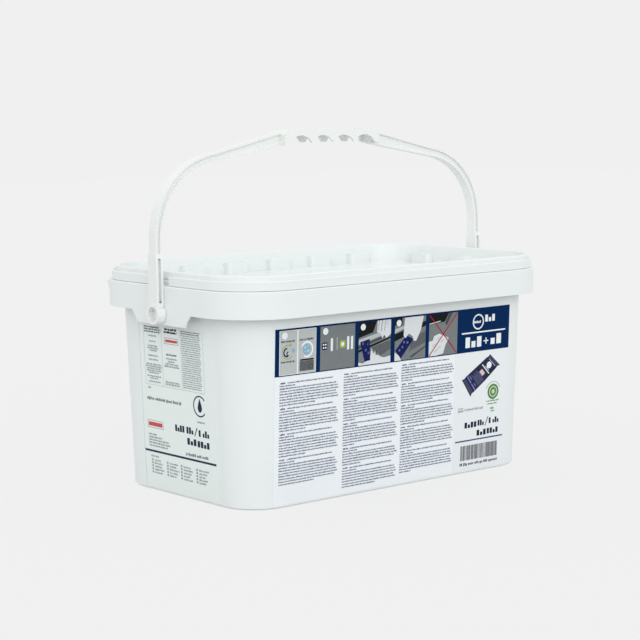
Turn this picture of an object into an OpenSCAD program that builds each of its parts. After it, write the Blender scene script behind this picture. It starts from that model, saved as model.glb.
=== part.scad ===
// Rectangular tub with a snap lid and a carrying handle, holding wrapped oven cleaning tablets.
// Origin: centre of the foot, on the ground. X runs along the tub, the main label faces -Y, Z is up.
// Every wall is drawn as a section (distance out from the corner centre, height) and swept around
// one set of four corner centres, so the corners of tub, lid and labels stay concentric.

/* [Tub] */
// Length of the collar, outside
collar_l = 340; // [330:1:350]
// Depth of the collar from front to back, outside
collar_w = 207; // [203:1:212]
// Outer corner radius of the collar
collar_r = 49; // [47:0.5:50]
// Height of the collar's lower edge
skirt_z = 147.8; // [146:0.2:150]
// Height of the collar's top edge
collar_z = 168.7; // [167:0.1:170]
// How far the wall stands inside the collar at the foot
foot_inset = 17.8; // [17:0.1:19]
// How far the wall stands inside the collar at the collar's lower edge
top_inset = 12; // [11.4:0.1:13]
// Thickness of the tub's wall and collar
wall_t = 1.6; // [1.2:0.1:2]
// Thickness of the tub's floor
floor_t = 2; // [1.4:0.1:2.6]
// Hollow under the floor
foot_h = 1.6; // [1:0.1:2.4]
// Width of the land that the tub stands on
foot_w = 6; // [4:0.5:8]
// Rounding of the foot's outer edge
foot_round = 1.2; // [0.6:0.1:2]

/* [Rim and lid] */
// How far the tub's upright rim stands inside the collar
rim_inset = 5; // [4.8:0.1:5.2]
// Thickness of the upright rim
rim_t = 1.8; // [1.4:0.1:1.9]
// Height of the upright rim above the collar
rim_h = 4.8; // [4.4:0.1:5]
// How far the sealing bead stands out from the rim
bead_out = 0.6; // [0.3:0.1:0.8]
// Thickness of the lid's walls
lid_t = 1.5; // [1.2:0.1:1.6]
// How far the lid's outer skirt stands inside the collar
lid_inset = 2; // [1.8:0.1:2.2]
// Height of the lid's outer bead above the collar
lid_step_h = 7.6; // [7.2:0.1:8]
// Height of the lid's top above the collar
lid_h = 11.3; // [11:0.1:12]
// Depth of the recessed panel below the lid's top
panel_depth = 16; // [15:0.5:16.5]
// Draught of the recess wall, over its depth
recess_draught = 1.6; // [1:0.1:1.8]
// Running gap between the lid and the tub
lid_gap = 0.3; // [0.2:0.05:0.4]
// Width of a stacking pad in the lid
pad_w = 23; // [18:1:26]
// How far a stacking pad stands in from the recess wall
pad_out = 7; // [5:0.5:9]
// Height of a stacking pad
pad_h = 9; // [7:0.5:11]
// Corner radius of a stacking pad
pad_round = 3; // [2.2:0.1:4]
// Pitch of the pads along the long sides
pad_pitch = 46.9; // [44:0.1:48]
// Pads along each long side
pads_long = 6; // [4:1:6]
// Pitch of the pads along the ends
pad_end_pitch = 50; // [46:1:52]
// Pads along each end
pads_end = 3; // [1:2:3]

/* [Ears and handle] */
// How far the handle's pivot lies below the collar's lower edge
pivot_drop = 0.9; // [0.4:0.1:1.4]
// Half width of the ear at its lower edge
ear_low = 31.7; // [28:0.1:34]
// Half width of the ear at the collar's lower edge
ear_high = 38.4; // [36:0.1:42]
// How far the ear hangs below the collar
ear_drop = 9.5; // [9:0.1:11]
// Depth of the boss around the ear's hole
ear_boss_t = 3.6; // [2.6:0.1:4.4]
// Radius of the handle's stud
stud_r = 5; // [4.6:0.1:5.4]
// Running clearance of the stud in the ear, on the radius
stud_clearance = 0.08; // [0.05:0.01:0.1]
// How far the snap barbs stand out from the stud
barb_out = 0.7; // [0.5:0.1:0.9]
// Outer radius of the handle's eye
eye_r = 8.1; // [7.8:0.1:8.4]
// Length of the eye along the pivot
eye_t = 7.2; // [6.4:0.1:8]
// Radius of the hollow in the eye's outer face
eye_hollow_r = 5.8; // [5.4:0.1:6]
// Gap between the handle and the collar's ends
handle_gap = 0.4; // [0.3:0.1:0.8]
// Width of the handle's lower leg
leg_w = 11.2; // [10.6:0.1:13]
// Thickness of the handle's lower leg
leg_t = 6.6; // [6.4:0.1:6.9]
// Height of the wide lower leg above the pivot
leg_h = 41; // [38:1:44]
// Height above the pivot at which the leg starts to bend inwards
bend_r = 56; // [55:1:58]
// Width of the handle's upper arm
arm_w = 9; // [8.2:0.1:10.4]
// Depth of the arm's section where it leaves the leg
arm_low_t = 6; // [5.6:0.1:6.2]
// Depth of the arm's section where it meets the grip
arm_end_t = 11.4; // [10:0.2:12]
// Height from the arm's lower edge to the grip's top, where they meet
arm_drop = 13; // [12.6:0.1:14]
// Width of the slot in the leg's edges
slot_w = 2.7; // [2.2:0.1:3]
// Thickness of the arm's inner and outer flanges
flange_t = 1.7; // [1.4:0.1:2]
// Thickness of the web between the flanges
web_t = 5; // [4.4:0.2:6]
// Height of the grip's top above the pivot
grip_z = 140.2; // [138:0.2:142]
// Length of the grip
grip_l = 102; // [98:1:106]
// Width of the grip
grip_w = 21; // [18:1:24]
// Pitch of the finger arches
finger_pitch = 22.9; // [22:0.1:24]
// Radius of a finger arch
finger_r = 13.7; // [12.5:0.1:15]
// Height of the grip's side over an arch
grip_side_h = 4.8; // [4.4:0.1:5.4]
// Height of the grip's side between two arches
grip_cusp_h = 10.8; // [10:0.1:11.4]
// Radius of an arch in the grip's back side
back_arch_r = 9.6; // [9:0.1:12]
// How far the arches of the back side are staggered along the grip
arch_stagger = 6.2; // [0:0.1:7]
// Wall thickness of the grip
grip_t = 2; // [1.6:0.1:2.4]

/* [Labels] */
// Thickness of a label
label_t = 0.25; // [0.2:0.01:0.3]
// Thickness of a printed field
print_t = 0.12; // [0.1:0.01:0.16]
// Left edge of the front label
front_left = -129; // [-130:0.5:-127]
// Right edge of the front label
front_right = 128.6; // [127:0.1:130]
// Left edge of the front label's right-hand panel
panel_left = 61.5; // [60:0.5:62.5]
// Top edge of the front label
front_top = 138.6; // [136:0.1:140]
// Lower edge of the front label
front_low = 2.2; // [2:0.1:4]
// Lower edge of the dark banner
banner_low = 102.2; // [101:0.1:103]
// Half length of the end label
end_half = 50.5; // [49:0.5:52]
// Top edge of the end label
end_top = 134.6; // [133:0.1:136]
// Margin of the dark banner at the label's right edge
banner_margin = 4; // [2:0.5:6]
// Width of a picture tile
tile_w = 34.7; // [32:0.1:35]
// Room between picture tiles
tile_gap = 4.1; // [3:0.1:4.2]
// Border of the banner above and below the tiles
tile_edge = 1.2; // [0.8:0.1:3]
// Width of a column of small print
column_w = 59.5; // [50:0.5:60]
// Pitch of the columns of small print
column_pitch = 63.2; // [62:0.1:64]
// Pitch of the paragraphs of small print
block_pitch = 17.6; // [17:0.1:19]
// Pitch of the lines of small print
line_pitch = 3; // [2.6:0.1:3.4]
// Height of a line of small print
line_h = 1.2; // [0.8:0.1:1.6]
// Margin around the columns of small print
text_margin = 4; // [3:0.2:5]
// Radius of the green dot
dot_r = 6.4; // [5:0.1:7.5]
// Height of the bars at the foot of the panel
bars_h = 12.6; // [10:0.2:14]
// Pitch of the bars
bar_pitch = 2.8; // [2.4:0.1:3]
// Width of a column of the table on the end label
table_column_w = 23.5; // [21:0.5:25]
// Pitch of the table's columns
table_pitch = 26; // [25.4:0.1:26.4]
// Height of the rule on the end label
end_rule_z = 31.4; // [30.6:0.1:32]
// Thickness of the rules
rule_t = 1.5; // [1:0.1:1.8]
// Radius of the ring on the end label
ring_r = 8.4; // [7:0.2:9]
// Stroke of the ring
ring_t = 1; // [0.8:0.1:2]

/* [Tablets] */
// Number of tablets in a full tub
tablet_count = 150; // [100:1:150]
// Length of a wrapped tablet with its sealed ends
sachet_l = 63.5; // [60:0.5:65]
// Width of a wrapped tablet
sachet_w = 31.6; // [29:0.1:31.8]
// Thickness of a wrapped tablet
sachet_h = 17.6; // [15:0.1:17.8]
// Length of a sealed end
fin_l = 7; // [5:0.5:9]
// Thickness of a sealed end
fin_t = 1.2; // [0.8:0.1:1.6]
// Length of the slope between a sealed end and the tablet
shoulder_l = 5; // [3:0.5:7]
// Room between neighbouring tablets
sachet_gap = 0.7; // [0.5:0.1:1]
// Room between layers of tablets
layer_gap = 0.3; // [0.2:0.05:0.4]

/* [Hidden] */
$fn = 96;

// Corner centres that every swept wall shares
cx = collar_l / 2 - collar_r;
cy = collar_w / 2 - collar_r;
foot_r = collar_r - foot_inset;
top_r = collar_r - top_inset;
function wall_r(z) = foot_r + (top_r - foot_r) * z / skirt_z;

// Tub
rim_r = collar_r - rim_inset;
floor_z = foot_h + floor_t;
flare_low = collar_z - 12;
flare_high = collar_z - 7;
skirt_in = collar_r - wall_t;
neck_in = rim_r - rim_t;
rim_z = collar_z + rim_h;
edge_round = 0.8;
rib_t = 1.6;
rib_pitch = 58;
ear_rib_gap = 8;
corner_lip_w = 15;
corner_lip_out = 1.2;
corner_lip_h = 7;
corner_lip_z = collar_z - corner_lip_h - 1.6;

// Notch in the lid's edge behind each leg
notch_w = 18;
notch_r = rim_r + lid_gap;

// Lid
lid_low = collar_z + lid_gap;
lid_r = collar_r - lid_inset;
lid_top = collar_z + lid_h;
panel_z = lid_top - panel_depth;
crown_in = rim_r - 3;
recess_r = crown_in - recess_draught;
catch_r = rim_r + bead_out + lid_gap;

// Handle
pivot_z = skirt_z - pivot_drop;
ear_z = skirt_z - ear_drop;
end_x = collar_l / 2;
leg_x = end_x + handle_gap;
eye_x = end_x + handle_gap;
hole_r = stud_r + stud_clearance;
boss_r = hole_r + 3.4;
boss_x = end_x - ear_boss_t;
barb_x = boss_x - lid_gap;
arm_join = [grip_l / 2 - grip_t - 0.4, grip_z - arm_drop];
arm_fall = 11.6;
bend_start = [leg_x, bend_r];
bend_in = 54;
bend_end = [end_x - bend_in, arm_join[1] - arm_fall];
bend_pull = [leg_x - 0.1, bend_r + 32];
bend_rise = 4.4;
bend_push = [end_x - 20, bend_end[1] - bend_rise];
grip_end_drop = 1.8;
grip_end_l = 5;
bend_steps = 14;
arm_mid_t = 7.8;
slot_low = eye_r + 0.6;
leg_taper = 6;

// Tablets: as many rows as the floor is wide, then as many columns as the round corners leave
inner_r = wall_r(floor_z) - wall_t - sachet_gap;
pitch_l = sachet_l + sachet_gap;
pitch_w = sachet_w + sachet_gap;
pitch_h = sachet_h + layer_gap;
rows = floor(2 * (cy + inner_r) / pitch_w);
row_reach = rows * pitch_w / 2 - cy;
cols = floor(2 * (cx + sqrt(inner_r * inner_r - row_reach * row_reach)) / pitch_l);
layers = floor((panel_z - lid_t - floor_z - layer_gap) / pitch_h);
per_layer = rows * cols;
full_layers = min(floor(tablet_count / per_layer), layers);
held = min(tablet_count, layers * per_layer);

// Places the children at each of the four corner centres, turned to face out
module at_corners() {
    for (turn = [0:3]) {
        sx = turn == 0 || turn == 3 ? 1 : -1;
        sy = turn < 2 ? 1 : -1;
        translate([sx * cx, sy * cy, 0]) rotate([0, 0, turn * 90]) children();
    }
}

// Sweeps a section of [distance from the corner centre, height] around the tub
module swept(section) {
    at_corners() rotate_extrude(angle = 90) polygon(section);
    for (side = [0, 1]) {
        mirror([0, side, 0]) translate([-cx, cy, 0])
            rotate([90, 0, 90]) linear_extrude(2 * cx) polygon(section);
        mirror([side, 0, 0]) translate([cx, cy, 0])
            rotate([90, 0, 0]) linear_extrude(2 * cy) polygon(section);
    }
}

// A flat plate that reaches radius r from every corner centre
module plate(r, z, h) {
    translate([0, 0, z]) linear_extrude(h) {
        square([2 * (cx + r), 2 * cy], center = true);
        square([2 * cx, 2 * (cy + r)], center = true);
        for (x = [-cx, cx], y = [-cy, cy]) translate([x, y]) circle(r);
    }
}

// Gap behind each leg, through the lid's outer edge
module leg_notches() {
    for (side = [0, 1]) mirror([side, 0, 0])
        translate([cx + notch_r, -notch_w / 2, collar_z])
            cube([collar_r, notch_w, lid_top]);
}

// Upright rib between the wall and the collar's skirt, with X out from the corner centre
module rib(low) {
    rotate([90, 0, 0]) translate([0, 0, -rib_t / 2]) linear_extrude(rib_t)
        polygon([
            [wall_r(low) - wall_t / 2, low], [wall_r(flare_low) - wall_t / 2, flare_low],
            [rim_r - rim_t / 2, flare_high], [rim_r - rim_t / 2, collar_z - wall_t / 2],
            [collar_r - wall_t / 2, collar_z - wall_t / 2], [collar_r - wall_t / 2, low]
        ]);
}

// Ear that hangs from the collar and carries the handle
module ear() {
    translate([end_x - wall_t, 0, 0]) rotate([90, 0, 90]) linear_extrude(wall_t)
        polygon([
            [-ear_high, skirt_z + edge_round], [-ear_high, skirt_z],
            [-ear_low - 2, ear_z + 4], [-ear_low, ear_z],
            [ear_low, ear_z], [ear_low + 2, ear_z + 4],
            [ear_high, skirt_z], [ear_high, skirt_z + edge_round]
        ]);
    translate([boss_x, 0, pivot_z]) rotate([0, 90, 0]) cylinder(r = boss_r, h = ear_boss_t);
    for (y = [-1, 1]) translate([cx, y * (boss_r + ear_rib_gap), 0]) rib(ear_z + rib_t);
}

// Ribs between the wall and the collar's skirt
module collar_ribs() {
    for (side = [0, 1], i = [-2:2])
        mirror([0, side, 0]) translate([i * rib_pitch, cy, 0]) rotate([0, 0, 90]) rib(skirt_z + rib_t);
}

// Small lip on the collar's back left corner, for lifting the lid
module corner_lip() {
    translate([-cx, cy, corner_lip_z]) rotate([0, 0, 135])
        translate([0, corner_lip_w / 2, 0]) rotate([90, 0, 0]) linear_extrude(corner_lip_w)
            polygon([
                [skirt_in, 0], [collar_r - 0.2, 0],
                [collar_r + corner_lip_out, corner_lip_h], [skirt_in, corner_lip_h]
            ]);
}

// Tub: wall, foot, floor, collar, rim and ears, moulded in one piece
module tub() {
    section = [
        [foot_r - foot_w, 0], [foot_r - foot_round, 0], [wall_r(foot_round), foot_round],
        [wall_r(flare_low), flare_low], [rim_r, flare_high], [rim_r, collar_z - wall_t],
        [skirt_in, collar_z - wall_t], [skirt_in, skirt_z], [collar_r, skirt_z],
        [collar_r, collar_z - edge_round], [collar_r - edge_round, collar_z], [rim_r, collar_z],
        [rim_r, collar_z + 1.4], [rim_r + bead_out, collar_z + 2],
        [rim_r + bead_out, collar_z + 2.8], [rim_r, collar_z + 3.8],
        [rim_r - 0.5, rim_z], [neck_in + 0.5, rim_z], [neck_in, rim_z - 0.7],
        [neck_in, flare_high + wall_t / 2], [wall_r(flare_low) - wall_t, flare_low + wall_t / 2],
        [wall_r(floor_z) - wall_t, floor_z], [foot_r - foot_w, floor_z]
    ];
    color([0.9, 0.92, 0.92]) difference() {
        union() {
            swept(section);
            plate(foot_r - foot_w + 1, foot_h, floor_t);
            for (side = [0, 1]) mirror([side, 0, 0]) ear();
            collar_ribs();
            corner_lip();
        }
        for (side = [0, 1]) mirror([side, 0, 0])
            translate([boss_x - 1, 0, pivot_z]) rotate([0, 90, 0])
                cylinder(r = hole_r, h = ear_boss_t + 2);
    }
}

// Places the children at every stacking pad, with X along the wall and Y out to it
module at_pads() {
    for (side = [0, 1]) {
        for (i = [0:pads_long - 1])
            mirror([0, side, 0])
                translate([(i - (pads_long - 1) / 2) * pad_pitch, cy + recess_r, panel_z]) children();
        for (i = [0:pads_end - 1])
            mirror([side, 0, 0])
                translate([cx + recess_r, (i - (pads_end - 1) / 2) * pad_end_pitch, panel_z])
                    rotate([0, 0, -90]) children();
    }
}

// Outline of a pad from above, with its two inner corners round
module pad_outline(width, out, back, r) {
    translate([-width / 2, r - out]) square([width, out + back - r]);
    translate([r - width / 2, -out]) square([width - 2 * r, 2 * r]);
    for (x = [-1, 1]) translate([x * (width / 2 - r), r - out]) circle(r);
}

// Lid: snap skirt, two beads, recessed panel and hollow stacking pads
module lid() {
    plug_r = recess_r + lid_t;
    under = lid_top - 6.1;
    section = [
        [lid_r - lid_t, lid_low], [lid_r, lid_low], [lid_r, collar_z + lid_step_h - 0.8],
        [lid_r - 0.7, collar_z + lid_step_h], [lid_r - 1.5, collar_z + lid_step_h],
        [lid_r - 2.1, collar_z + lid_step_h - 1], [lid_r - 2.8, collar_z + lid_step_h - 1],
        [crown_in + 2.9, lid_top - 0.8], [crown_in + 2, lid_top], [crown_in + 0.8, lid_top],
        [crown_in, lid_top - 0.8], [recess_r, panel_z], [recess_r, panel_z - lid_t],
        [plug_r, panel_z - lid_t], [plug_r + 1.1, under], [lid_r - lid_t - 1, under],
        [lid_r - lid_t, under - 0.6], [lid_r - lid_t, lid_low + 2.6], [catch_r, lid_low + 1.9],
        [catch_r, lid_low + 1.2], [lid_r - lid_t, lid_low + 0.5]
    ];
    color([0.94, 0.955, 0.95]) difference() {
        union() {
            swept(section);
            plate(recess_r + lid_t / 2, panel_z - lid_t, lid_t);
            at_pads() translate([0, 0, -lid_t / 2]) linear_extrude(pad_h + lid_t / 2)
                pad_outline(pad_w, pad_out, lid_t, pad_round);
        }
        leg_notches();
        at_pads() translate([0, 0, -2 * lid_t]) linear_extrude(pad_h + lid_t)
            pad_outline(pad_w - 2 * lid_t, pad_out - lid_t, 0, pad_round - lid_t);
    }
}

// Inner edge of the bent arm, from the leg to the grip, and the arm's depth along it
function mix(a, b, t) = a + (b - a) * t;
function bend(t) = pow(1 - t, 3) * bend_start + 3 * t * pow(1 - t, 2) * bend_pull
    + 3 * t * t * (1 - t) * bend_push + pow(t, 3) * bend_end;
function bend_way(t) = 3 * pow(1 - t, 2) * (bend_pull - bend_start)
    + 6 * t * (1 - t) * (bend_push - bend_pull) + 3 * t * t * (bend_end - bend_push);
function out_from(way) = [way[1], -way[0]] / norm(way);
function bend_depth(t) = mix(arm_low_t, arm_mid_t, t);
arm_way = arm_join - bend_end;
bend_ts = [for (i = [0:bend_steps]) i / bend_steps];

// Line along the arm, a share of the way from its inner to its outer edge, moved by a fixed step
function arm_line(share, step) = concat(
    [[leg_x + share * arm_low_t + step, leg_h + leg_taper / 2]],
    [for (t = bend_ts) bend(t) + out_from(bend_way(t)) * (share * bend_depth(t) + step)],
    [arm_join + out_from(arm_way) * (share * arm_end_t + step)]
);
function backwards(points) = [for (i = [len(points) - 1:-1:0]) points[i]];

// One arm of the handle: an I section open to the front and the back
module arm() {
    rotate([90, 0, 0]) {
        translate([0, 0, -arm_w / 2]) linear_extrude(arm_w) difference() {
            polygon(concat(arm_line(0, 0), backwards(arm_line(1, 0))));
            polygon(concat(arm_line(0, flange_t), backwards(arm_line(1, -flange_t))));
        }
        translate([0, 0, -web_t / 2]) linear_extrude(web_t)
            polygon(concat(arm_line(0, flange_t / 2), backwards(arm_line(1, -flange_t / 2))));
    }
}

// Wide lower leg with a round-ended slot in its front and back edges
module leg() {
    leg_end = leg_h + leg_taper;
    slot_top = leg_h + leg_taper / 2 - 0.6 - slot_w / 2;
    slot_foot = slot_low + slot_w / 2;
    difference() {
        translate([leg_x, 0, 0]) rotate([90, 0, 90]) linear_extrude(leg_t)
            polygon([
                [-leg_w / 2, 0], [leg_w / 2, 0], [leg_w / 2, leg_h],
                [arm_w / 2, leg_end], [-arm_w / 2, leg_end], [-leg_w / 2, leg_h]
            ]);
        for (side = [0, 1]) mirror([0, side, 0])
            translate([leg_x + leg_t / 2, -web_t / 2, 0]) rotate([90, 0, 0]) linear_extrude(leg_w) {
                translate([0, slot_foot]) circle(slot_w / 2);
                translate([0, slot_top]) circle(slot_w / 2);
                translate([-slot_w / 2, slot_foot]) square([slot_w, slot_top - slot_foot]);
            }
    }
}

// Eye with a hollow outside, and the stud that snaps through the ear
module eye() {
    rotate([0, 90, 0]) difference() {
        union() {
            translate([0, 0, eye_x]) cylinder(r = eye_r, h = eye_t);
            translate([0, 0, barb_x - 3.2]) cylinder(r = stud_r, h = eye_x - barb_x + 3.3);
            translate([0, 0, barb_x - 2.6]) cylinder(r1 = stud_r, r2 = stud_r + barb_out, h = 2);
            translate([0, 0, barb_x - 0.6]) cylinder(r = stud_r + barb_out, h = 0.6);
        }
        translate([0, 0, eye_x + grip_t]) cylinder(r = eye_hollow_r, h = eye_t);
        translate([0, 0, barb_x - 4]) cylinder(r = stud_r - 1.6, h = eye_x - barb_x + 4);
    }
}

// Grip: a channel open downwards with four finger arches in each side
module grip() {
    low = grip_z - grip_cusp_h;
    half = grip_l / 2;
    flat = half - grip_end_l;
    module side_view() {
        polygon([
            [-half, low - grip_end_drop], [-flat, low], [flat, low], [half, low - grip_end_drop],
            [half, grip_z - 3.6], [half - 3.2, grip_z - 0.8], [half - 12, grip_z],
            [12 - half, grip_z], [3.2 - half, grip_z - 0.8], [-half, grip_z - 3.6]
        ]);
    }
    module arches(r, shift) {
        intersection() {
            for (i = [-1.5:1.5])
                translate([i * finger_pitch + shift, grip_z - grip_side_h - r]) circle(r);
            translate([-flat, low - r]) square([2 * flat, 2 * r]);
        }
    }
    module inside() {
        polygon([
            [-half + grip_t, low - grip_t - 1], [half - grip_t, low - grip_t - 1],
            [half - grip_t, grip_z - 5], [half - 12, grip_z - grip_t],
            [12 - half, grip_z - grip_t], [-half + grip_t, grip_z - 5]
        ]);
    }
    difference() {
        rotate([90, 0, 0]) translate([0, 0, -grip_w / 2]) linear_extrude(grip_w) side_view();
        rotate([90, 0, 0]) translate([0, 0, grip_t - grip_w / 2]) linear_extrude(grip_w - 2 * grip_t) inside();
        rotate([90, 0, 0]) translate([0, 0, grip_w / 2 - grip_t - 0.2])
            linear_extrude(grip_w) arches(finger_r, 0);
        rotate([90, 0, 0]) translate([0, 0, grip_t + 0.2 - 1.5 * grip_w])
            linear_extrude(grip_w) arches(back_arch_r, arch_stagger);
    }
    for (i = [-1:1])
        translate([i * finger_pitch - rib_t / 2, -grip_w / 2 + grip_t / 2, grip_z - grip_side_h + 0.3])
            cube([rib_t, grip_w - grip_t, grip_side_h - 0.3 - grip_t / 2]);
}

// Handle: eyes, legs, arms and grip, moulded in one piece
module handle() {
    color([0.89, 0.9, 0.9]) translate([0, 0, pivot_z]) {
        for (side = [0, 1]) mirror([side, 0, 0]) {
            difference() {
                union() {
                    leg();
                    arm();
                }
                translate([leg_x - 1, 0, 0]) rotate([0, 90, 0]) cylinder(r = eye_hollow_r, h = leg_t + 2);
            }
            eye();
        }
        grip();
    }
}

// Outline of one wrapped tablet from the side: flat sealed ends and a raised middle
module sachet() {
    half = sachet_l / 2;
    mid = sachet_h / 2;
    fin = half - fin_l;
    body = fin - shoulder_l;
    rotate([90, 0, 0]) translate([0, 0, -sachet_w / 2]) linear_extrude(sachet_w)
        polygon([
            [-half, mid - fin_t / 2], [-fin, mid - fin_t / 2], [-body, 0], [body, 0],
            [fin, mid - fin_t / 2], [half, mid - fin_t / 2], [half, mid + fin_t / 2],
            [fin, mid + fin_t / 2], [body, sachet_h], [-body, sachet_h],
            [-fin, mid + fin_t / 2], [-half, mid + fin_t / 2]
        ]);
}

// Wrapped tablets laid in layers; the last layer fills the left end first
module sachets(first, second) {
    for (i = [0:held - 1])
        if (i % 3 == first || i % 3 == second) {
            layer = floor(i / per_layer);
            in_layer = i - layer * per_layer;
            row = layer < full_layers ? floor(in_layer / cols) : in_layer % rows;
            col = layer < full_layers ? in_layer % cols : floor(in_layer / rows);
            translate([
                (col - (cols - 1) / 2) * pitch_l,
                (row - (rows - 1) / 2) * pitch_w,
                floor_z + layer_gap + layer * pitch_h
            ]) sachet();
        }
}

module cleaner_tablets() { color([0.09, 0.17, 0.32]) sachets(0, 1); }
module rinse_tablets() { color([0.33, 0.55, 0.25]) sachets(2, 2); }

// Skin that follows the tub's wall, from one height above the surface to another
module wall_skin(low, high) {
    swept([
        [foot_r + low, 0], [foot_r + high, 0],
        [wall_r(skirt_z) + high, skirt_z], [wall_r(skirt_z) + low, skirt_z]
    ]);
}

// Field on the front wall, drawn as it is seen from the front
module on_front(low, high) {
    intersection() {
        wall_skin(low, high);
        rotate([90, 0, 0]) linear_extrude(collar_w) children();
    }
}

// Field on the left end, drawn as it is seen from that end
module on_end(low, high) {
    intersection() {
        wall_skin(low, high);
        rotate([90, 0, -90]) linear_extrude(collar_l) children();
    }
}

// Levels of label and print above the wall
label_lift = 0.02;
rule_z = 26.8;
table_left = 9.5 - end_half;
figures_h = 5;
// Rows on the end label over its rule, and how far they reach
article_up = 4;
address_up = 15;
weight_up = 21;
line_up = 42.5;
ring_at = [29.6, end_rule_z + 44.6];
box_l = 21;
address_l = 28;
mark_pitch = 20;
mark_l = 14;
weight_right = end_half - 11;
// Corners of the printed tablet and centre of the green dot, from the panel's top left
picture_corners = [[8.6, -22.7], [19.2, -37.8], [53.4, -14.1], [41, -4]];
dot_at = [46, -36];
label_face = label_lift + label_t;
print_low = label_face + label_lift;
print_face = print_low + print_t;
second_low = print_face + label_lift;

// A box from one corner to the other
module field(x0, z0, x1, z1) { translate([x0, z0]) square([x1 - x0, z1 - z0]); }

// Even lines of print between two edges, from the top down, the last one short
module text_lines(x0, x1, top, pitch, count) {
    for (i = [0:count - 1])
        field(x0, top - i * pitch - line_h, i == count - 1 ? mix(x0, x1, 0.55) : x1, top - i * pitch);
}

module front_label() {
    color([0.88, 0.9, 0.93]) on_front(label_lift, label_face)
        field(front_left, front_low, panel_left - label_lift, front_top);
}

module front_side_panel() {
    color([0.93, 0.94, 0.95]) on_front(label_lift, label_face)
        field(panel_left, front_low, front_right, front_top);
}

module front_banner() {
    color([0.11, 0.25, 0.39]) on_front(print_low, print_face)
        field(front_left, banner_low, front_right - banner_margin, front_top);
}

// Five picture tiles in the banner
module front_pictures() {
    color([0.5, 0.53, 0.54]) on_front(second_low, second_low + print_t)
        for (i = [0:4])
            field(front_left + tile_gap + i * (tile_w + tile_gap), banner_low + tile_edge,
                front_left + (i + 1) * (tile_w + tile_gap), front_top - tile_edge);
}

// Three columns of small print under the banner
module front_text() {
    color([0.52, 0.56, 0.62]) on_front(print_low, print_face)
        for (column = [0:2], block = [0:4]) {
            x = front_left + text_margin + column * column_pitch;
            text_lines(x, x + column_w, banner_low - text_margin - block * block_pitch, line_pitch, 5);
        }
}

// Picture of one wrapped tablet, seen at a slant
module front_tablet_picture() {
    color([0.09, 0.13, 0.25]) on_front(print_low, print_face)
        translate([panel_left, banner_low]) polygon(picture_corners);
}

module front_green_dot() {
    color([0.3, 0.5, 0.28]) on_front(print_low, print_face)
        translate([panel_left, banner_low] + dot_at) circle(dot_r);
}

// Weight rows, rule and bars at the foot of the right-hand panel
module front_barcode() {
    color([0.2, 0.24, 0.3]) on_front(print_low, print_face) {
        field(panel_left + 3, rule_z, front_right - 2 * banner_margin, rule_z + rule_t);
        field(panel_left + 13, rule_z + 11.6, front_right - 14, rule_z + 11.6 + figures_h);
        field(panel_left + 28, rule_z + 3.8, front_right - 14, rule_z + 3.8 + figures_h);
        for (i = [0:15]) {
            bar_x = panel_left + 9.5 + i * bar_pitch;
            field(bar_x, rule_z - 3 - bars_h, bar_x + 1 + (i * 7 % 4) * 0.4, rule_z - 3);
        }
    }
}

module end_label() {
    color([0.89, 0.92, 0.92]) on_end(label_lift, label_face)
        field(-end_half, front_low, end_half, end_top);
}

// Table of small print in three columns, and the rows below it
module end_table() {
    color([0.55, 0.58, 0.6]) on_end(print_low, print_face) {
        for (column = [0:2]) {
            x = table_left + column * table_pitch;
            field(x, end_top - 6, x + table_column_w, end_top - 1);
            text_lines(x, x + table_column_w, end_top - 8, line_pitch - 0.1, 14);
        }
        field(table_left, end_rule_z + weight_up - 1, table_left + box_l, end_rule_z + weight_up + figures_h);
        text_lines(table_left, table_left + address_l, end_rule_z + address_up, line_pitch, 4);
        for (column = [0:3]) {
            x = table_left + 3 + column * mark_pitch;
            text_lines(x, x + mark_l, end_rule_z - 4, line_pitch, 5);
        }
    }
}

// Rule, the rows above it at the right and the line under the table
module end_rule() {
    color([0.1, 0.13, 0.2]) on_end(print_low, print_face) {
        field(4 - end_half, end_rule_z, end_half - 3, end_rule_z + rule_t);
        field(-4, end_rule_z + weight_up, weight_right, end_rule_z + weight_up + figures_h);
        field(11, end_rule_z + weight_up - 9, weight_right, end_rule_z + weight_up - 9 + figures_h);
        field(9, end_rule_z + article_up, weight_right, end_rule_z + article_up + figures_h / 2);
        field(table_left, end_rule_z + line_up, 6, end_rule_z + line_up + figures_h / 2);
    }
}

module end_ring() {
    color([0.15, 0.2, 0.25]) on_end(print_low, print_face)
        translate(ring_at) difference() {
            circle(ring_r);
            circle(ring_r - ring_t);
        }
}

tub();
lid();
handle();
cleaner_tablets();
rinse_tablets();
front_label();
front_side_panel();
front_banner();
front_pictures();
front_text();
front_tablet_picture();
front_green_dot();
front_barcode();
end_label();
end_table();
end_rule();
end_ring();
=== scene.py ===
"""Oven cleaning tablet tub: a moulded tub with a snap lid, a bail handle, printed label films and
wrapped tablets, dressed over its CAD frame. Drawings of print are in millimetres, all else in metres."""
import math
import random

import bmesh
import bpy
from bpy.props import FloatProperty, FloatVectorProperty, IntProperty, PointerProperty
from mathutils import Matrix, Vector


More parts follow.
